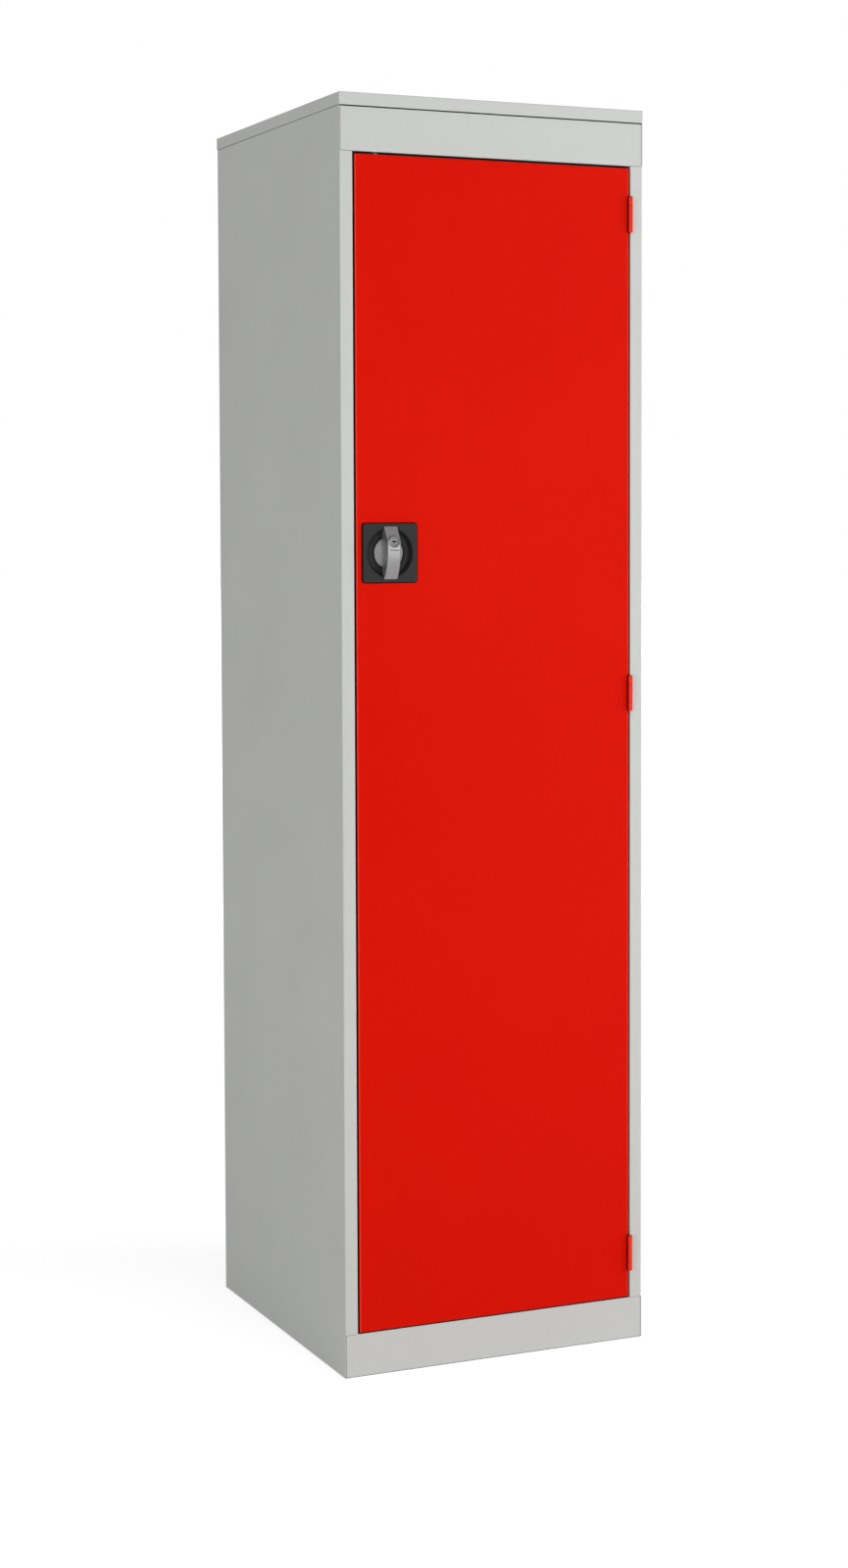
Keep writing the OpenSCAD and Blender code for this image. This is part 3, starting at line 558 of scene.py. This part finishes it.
# Faces of the plate's sloped border and outer wall, which take the painted shade
def on_border(x, y, z):
    return -0.01 < z < PLATE_T - 0.1 and math.hypot(x, y) > RIM_R + 0.4


# ---- grip, disc, barrel and plug ----

# The grip's half length, and its heights on the flat, at the tips and under the tips
GRIP_END, GRIP_TOP, GRIP_TIP, GRIP_UNDER = 36.5, 17.8, 4.7, 2.9
# Half its width in the middle, and how much more it is at a tip
GRIP_HALF, GRIP_FLARE = 9.5, 0.7
# The front of the disc's core, and how far out the grip goes down to it
HUB_FRONT, GRIP_FOOT = -3.5, 28.5
# The flat runs from ARC_START up to the barrel's middle, and its ends are softened over a reach
ARC_START, KINK_REACH, KINK_STEPS = 3.0, 0.9, 4
# How much a tip is rounded off, and over what length
TIP_EASE, TIP_REACH = 0.4, 0.6
# The chamfer along both edges: its least and greatest depth, the share of the grip's height
# that it takes between them, and its width over its depth
CHAMFER_LEAST, CHAMFER_MOST, CHAMFER_SHARE, CHAMFER_RATIO = 0.25, 0.95, 0.4, 1.25
# The ledge at the foot: its width, its height and the most of the grip's height that this may
# be, where it ends, and the length over which it fades
LEDGE_W, LEDGE_H, LEDGE_SHARE, LEDGE_END, LEDGE_FADE = 0.75, 3.4, 0.3, 21, 3.0
# Half the index line's width, its lower and upper edge, and its depth
LINE_HALF, LINE_LOW, LINE_HIGH, LINE_DEPTH = 6.5, 3.5, 4.3, 0.4
DISC_R, DISC_RISE, DISC_STEPS = 21.5, 3.6, 14

# The barrel's front, back and radius, its bore and the floor of that, and the tail's hole
BARREL_FRONT, BARREL_BACK, BARREL_R = 17.3, -2, 8.25
BARREL_BORE, BARREL_FLOOR, TAIL_BORE = 6.55, 1.0, 3.05
# The plug, its tail, and the thin end of the tail that the cam sits on
PLUG_FRONT, PLUG_BACK, PLUG_R, TAIL_R = BARREL_FRONT - 0.3, 1.2, 6.5, 3.0
TAIL_BACK, SEAT_FRONT, SEAT_R = -7.6, -5.4, 1.6
# Half the keyway's width and height, half the width and the foot of its ward, and its floor
KEYWAY_W, KEYWAY_H, WARD_W, WARD_LOW, KEYWAY_FLOOR = 3.4, 0.65, 0.9, -2.05, 8.3

# Where the grip's rings lie, closer together at its tips and round the kink at the barrel
TIP_STATIONS = [36.5, 36.4, 36.2, 35.8, 35.2, 34.4, 33.4, 32.5, 31.6, 30.6, 29.5, 28.5, 27.5]
LONG_STATIONS = [-26 + 1.5 * k for k in range(28)]
KINK_STATIONS = [14.6, 15.2, 15.6, 16, 16.4, 16.8, 17.4, 18.5, 20, 22, 24, 26]


def grip_height(y):
    """Height of the grip's front above the door's face, with its kink softened."""
    def sharp(t):
        drop = GRIP_TOP - GRIP_TIP
        if t > KEY_Y:
            return GRIP_TOP - drop * (t - KEY_Y) / (GRIP_END - KEY_Y)
        if t > ARC_START:
            return GRIP_TOP
        reach = GRIP_END + ARC_START
        r = (reach ** 2 + drop ** 2) / (2 * drop)
        return GRIP_TOP - r + math.sqrt(r * r - (ARC_START - t) ** 2)
    near = [max(-GRIP_END, min(GRIP_END, y + KINK_REACH * k / KINK_STEPS))
            for k in range(-KINK_STEPS, KINK_STEPS + 1)]
    return sum(sharp(t) for t in near) / len(near)


def grip_base(y):
    """Height of the grip's underside: flat at the tips, then down to the disc."""
    ramp_end = GRIP_END - 4
    t = abs(y)
    if t > ramp_end:
        return GRIP_UNDER
    if t > GRIP_FOOT:
        return HUB_FRONT + (GRIP_UNDER - HUB_FRONT) * (t - GRIP_FOOT) / (ramp_end - GRIP_FOOT)
    return HUB_FRONT


def grip_ring(y):
    """The grip's cross-section at y, from its right foot over the top to its left foot."""
    half = GRIP_HALF + GRIP_FLARE * (y / GRIP_END) ** 2
    top, base = grip_height(y), grip_base(y)
    ease = TIP_EASE * max(0.0, 1 - (GRIP_END - abs(y)) / TIP_REACH) ** 2
    top -= ease
    half -= ease
    deep = max(CHAMFER_LEAST, min(CHAMFER_MOST, CHAMFER_SHARE * (top - base)))
    wide = deep * CHAMFER_RATIO
    # the ledge is gone where the underside starts to rise
    ledge = LEDGE_W * max(0.0, min(1.0, (LEDGE_END - abs(y)) / LEDGE_FADE))
    low = min(LEDGE_H, LEDGE_SHARE * (top - base))
    step = base + low
    wall = top - deep - base - low - 1.0
    right = [(half + ledge, base), (half + ledge, base + 0.8 * low), (half + ledge, step),
             (half + 0.92 * ledge, step + 0.15), (half, step + 0.9), (half, step + 1.0),
             (half, step + 1.0 + 0.5 * wall), (half, top - deep - 0.3), (half - 0.04, top - deep),
             (half - 0.12, top - deep + 0.12), (half - wide + 0.15, top - 0.12),
             (half - wide, top - 0.03), (half - wide - 0.2, top), (half - wide - 0.8, top)]
    return [(x, y, z) for x, z in right + [(-x, z) for x, z in reversed(right)]]


def drill(r, low, high, steps):
    """A cutter round the key's axis."""
    return lathe([(AXIS_R, low), (r, low), (r, high), (AXIS_R, high)], steps, (0, KEY_Y))


def grip():
    """Bowed grip, waisted in the middle, with a chamfer along both edges, softened tips and a
    low ledge where it stands on the disc. The barrel's bore and the index line are cut out."""
    stations = TIP_STATIONS + [-y for y in TIP_STATIONS] + LONG_STATIONS + KINK_STATIONS
    solid = capped([grip_ring(y) for y in sorted(set(stations))])
    bore = drill(BARREL_R + 0.05, BARREL_BACK, GRIP_TOP + 2.2, 72)
    tail = drill(TAIL_R + 0.3, HUB_FRONT - 1.5, 0, 32)
    line = rectangle(-LINE_HALF, LINE_HALF, LINE_LOW, LINE_HIGH)
    return cut(solid, bore, tail, prism(line, GRIP_TOP - LINE_DEPTH, GRIP_TOP + 1))


def in_index_line(x, y, z):
    return (abs(x) < LINE_HALF + 0.1 and LINE_LOW - 0.01 < y < LINE_HIGH + 0.01
            and z < GRIP_TOP - 0.05)


def disc_cap():
    """The disc's domed front, DISC_RISE high over its flat core."""
    sphere = (DISC_R ** 2 + DISC_RISE ** 2) / (2 * DISC_RISE)
    radii = [max(AXIS_R, DISC_R * k / DISC_STEPS) for k in range(DISC_STEPS)]
    bow = [(r, HUB_FRONT + math.sqrt(sphere ** 2 - r ** 2) - sphere + DISC_RISE) for r in radii]
    rim = [(DISC_R - 0.35, HUB_FRONT + 0.09), (DISC_R - 0.08, HUB_FRONT - 0.02),
           (DISC_R, HUB_FRONT - 0.2), (DISC_R, HUB_FRONT - 0.6)]
    return lathe(bow + rim + [(AXIS_R, HUB_FRONT - 0.6)])


def barrel():
    top = BARREL_FRONT
    return lathe([(BARREL_R, BARREL_BACK), (BARREL_R, top - 0.9), (BARREL_R, top - 0.7),
                  (8.1, top - 0.3), (7.8, top - 0.05), (7.5, top), (7.3, top), (6.95, top),
                  (6.75, top), (6.6, top - 0.1), (BARREL_BORE, top - 0.35),
                  (BARREL_BORE, BARREL_FLOOR), (TAIL_BORE, BARREL_FLOOR),
                  (TAIL_BORE, BARREL_BACK)], centre=(0, KEY_Y))


def plug():
    top = PLUG_FRONT
    solid = lathe([(AXIS_R, TAIL_BACK), (SEAT_R, TAIL_BACK), (SEAT_R, SEAT_FRONT),
                   (TAIL_R, SEAT_FRONT), (TAIL_R, PLUG_BACK), (PLUG_R, PLUG_BACK),
                   (PLUG_R, top - 0.75), (6.45, top - 0.6), (5.85, top - 0.05), (5.7, top),
                   (5.5, top), (4.9, top), (4.7, top), (4.4, top - 0.25), (4.2, top - 0.3),
                   (4.0, top - 0.3), (AXIS_R, top - 0.3)], centre=(0, KEY_Y))
    keyway = [(-KEYWAY_W, -KEYWAY_H), (-WARD_W, -KEYWAY_H), (-WARD_W, WARD_LOW),
              (WARD_W, WARD_LOW), (WARD_W, -KEYWAY_H), (KEYWAY_W, -KEYWAY_H),
              (KEYWAY_W, KEYWAY_H), (-KEYWAY_W, KEYWAY_H)]
    return cut(solid, prism([(x, y + KEY_Y) for x, y in keyway], KEYWAY_FLOOR, top + 1))


def in_keyway(x, y, z):
    return (abs(x) < KEYWAY_W + 0.02 and WARD_LOW - 0.05 < y - KEY_Y < KEYWAY_H + 0.05
            and KEYWAY_FLOOR - 0.1 < z < PLUG_FRONT - 0.4)


def on_plug_rim(x, y, z):
    return math.hypot(x, y - KEY_Y) > 5.6 and z > PLUG_FRONT - 0.9


# The plate's sloped border is painted darker, as shade
piece("escutcheon", escutcheon(), "door", "escutcheon_black", "handle_escutcheon",
      extra=((SHADE_AND_LINE_BLACK, on_border),))
piece("escutcheon_studs", studs(), "door", "escutcheon_black")
# The index line is filled with the darker black
piece("grip", grip(), "handle", "handle_silver", "handle_grip",
      extra=((SHADE_AND_LINE_BLACK, in_index_line),))
piece("disc_cap", disc_cap(), "handle", "handle_silver")
piece("lock_barrel", barrel(), "handle", "lock_nickel", "key_barrel")
# The keyway is painted near black, as shade in its depth
piece("lock_plug", plug(), "key", "lock_nickel", "key_plug",
      extra=((SHADE_AND_LINE_BLACK, in_keyway), (BRIGHT_NICKEL, on_plug_rim)))


# ---- studio ----

# The camera as it was fitted to the photo: yaw, pitch and roll in degrees, place in metres,
# focal length and sensor in millimetres, and shift as a share of the frame's longer side
CAMERA_TURN = (23.664, -3.037, -0.225)
CAMERA_PLACE = (-1.62233, -3.61147, 1.19926)
CAMERA_LENS, CAMERA_SENSOR, CAMERA_FAR = 60.973, 36.0, 200.0
CAMERA_SHIFT = (0.01371, -0.0796)

# Half the floor's width, and how far it lies under the feet, in metres
FLOOR_HALF, FLOOR_DROP = 40.0, 0.0005
# How far from the object, in metres, the floor's lift goes from near to far
LIFT_SPAN = (1.5, 6.0)
# From where to where, front to back, metal sees the white rise from dim to full: as a part of
# the direction for the world, and in metres for the floor
WORLD_RISE, FLOOR_RISE = (-0.5, 0.3), (-1.6, -0.3)


def camera():
    yaw, pitch, roll = (math.radians(a) for a in CAMERA_TURN)
    forward = Vector((math.sin(yaw) * math.cos(pitch), math.cos(yaw) * math.cos(pitch),
                      math.sin(pitch)))
    level = Vector((math.cos(yaw), -math.sin(yaw), 0))
    lift = level.cross(forward)
    right = math.cos(roll) * level + math.sin(roll) * lift
    up = math.cos(roll) * lift - math.sin(roll) * level
    data = bpy.data.cameras.new("camera")
    data.sensor_width = CAMERA_SENSOR
    data.lens = CAMERA_LENS
    data.shift_x, data.shift_y = CAMERA_SHIFT
    data.clip_end = CAMERA_FAR
    obj = bpy.data.objects.new("camera", data)
    obj.matrix_world = Matrix.Translation(CAMERA_PLACE) @ Matrix(
        (right, up, -forward)).transposed().to_4x4()
    bpy.context.scene.collection.objects.link(obj)
    bpy.context.scene.camera = obj


def area_light(name, *, place, aim, size, power, mirrored=True):
    """mirrored is False for a lamp that metal and gloss don't show."""
    data = bpy.data.lights.new(name, "AREA")
    data.shape = "RECTANGLE"
    data.size, data.size_y = size
    data.energy = power
    obj = bpy.data.objects.new(name, data)
    obj.location = place
    obj.visible_glossy = mirrored
    obj.rotation_euler = (Vector(aim) - Vector(place)).to_track_quat("-Z", "Y").to_euler()
    bpy.context.scene.collection.objects.link(obj)


def seen_directly(nodes, mirrored):
    """1 for camera rays, mirrored for mirror and glass rays, 0 for those that carry light."""
    path = nodes.add("ShaderNodeLightPath").outputs
    shiny = nodes.maths("MAXIMUM", path["Is Glossy Ray"], path["Is Transmission Ray"])
    shown = nodes.maths("MULTIPLY", shiny, mirrored)
    return nodes.maths("MAXIMUM", path["Is Camera Ray"], shown)


def world(*, strength, front):
    """White all round for the camera, while strength is what lights the object. Metal sees the
    white too, dimmed to front on the camera's side."""
    made = bpy.data.worlds.new("studio")
    nodes = Nodes(made)
    out = nodes.add("ShaderNodeOutputWorld")
    mix = nodes.add("ShaderNodeMixShader")
    mirrored = nodes.ramp(nodes.parts(nodes.where("Generated"))["Y"], WORLD_RISE, (front, 1.0))
    nodes.link(seen_directly(nodes, mirrored), mix.inputs["Fac"])
    for socket, level in zip(mix.inputs[1:], (strength, 1.0)):
        light = nodes.add("ShaderNodeBackground")
        light.inputs["Strength"].default_value = level
        light.inputs["Color"].default_value = rgb(1, 1, 1)
        nodes.link(light.outputs[0], socket)
    nodes.link(mix.outputs[0], out.inputs["Surface"])
    bpy.context.scene.world = made


def floor(*, tone, near, far, front):
    """A pale floor that takes the object's shadow and shows white beyond it. It is lifted by near
    under the object and by far from six metres on, and metal sees it dimmed like the world."""
    made = bpy.data.materials.new("floor")
    nodes = Nodes(made)
    out = nodes.add("ShaderNodeOutputMaterial")
    matt = nodes.add("ShaderNodeBsdfDiffuse")
    matt.inputs["Color"].default_value = rgb(tone, tone, tone)
    place = nodes.where("Object")
    away = nodes.add("ShaderNodeVectorMath", operation="LENGTH")
    nodes.link(place, away.inputs[0])
    lifted = nodes.ramp(away.outputs["Value"], LIFT_SPAN, (near, far))
    mirrored = nodes.ramp(nodes.parts(place)["Y"], FLOOR_RISE, (front, 1.0))
    shown = nodes.maths("MULTIPLY", lifted, seen_directly(nodes, mirrored))
    glow = nodes.add("ShaderNodeEmission")
    nodes.link(shown, glow.inputs["Strength"])
    both = nodes.add("ShaderNodeAddShader")
    nodes.link(matt.outputs[0], both.inputs[0])
    nodes.link(glow.outputs[0], both.inputs[1])
    nodes.link(both.outputs[0], out.inputs["Surface"])
    bm = bmesh.new()
    bmesh.ops.create_grid(bm, x_segments=8, y_segments=8, size=FLOOR_HALF)
    mesh = bpy.data.meshes.new("floor")
    bm.to_mesh(mesh)
    bm.free()
    mesh.materials.append(made)
    obj = bpy.data.objects.new("floor", mesh)
    obj.location.z = -FLOOR_DROP
    bpy.context.scene.collection.objects.link(obj)


camera()
world(strength=0.36, front=0.20)
floor(tone=0.88, near=0.62, far=1.0, front=0.1)
area_light("right", place=(1.40, -3.92, 1.55), aim=(0, -0.1, 0.9), size=(3.4, 2.4), power=66)
area_light("far_right", place=(3.75, -1.95, 1.30), aim=(0.2, -0.24, 0.85), size=(1.4, 2.6),
           power=72, mirrored=False)
area_light("left", place=(-4.50, -3.25, 0.95), aim=(0, -0.1, 0.8), size=(1.6, 2.6), power=86)

bpy.context.scene.view_settings.view_transform = "Standard"
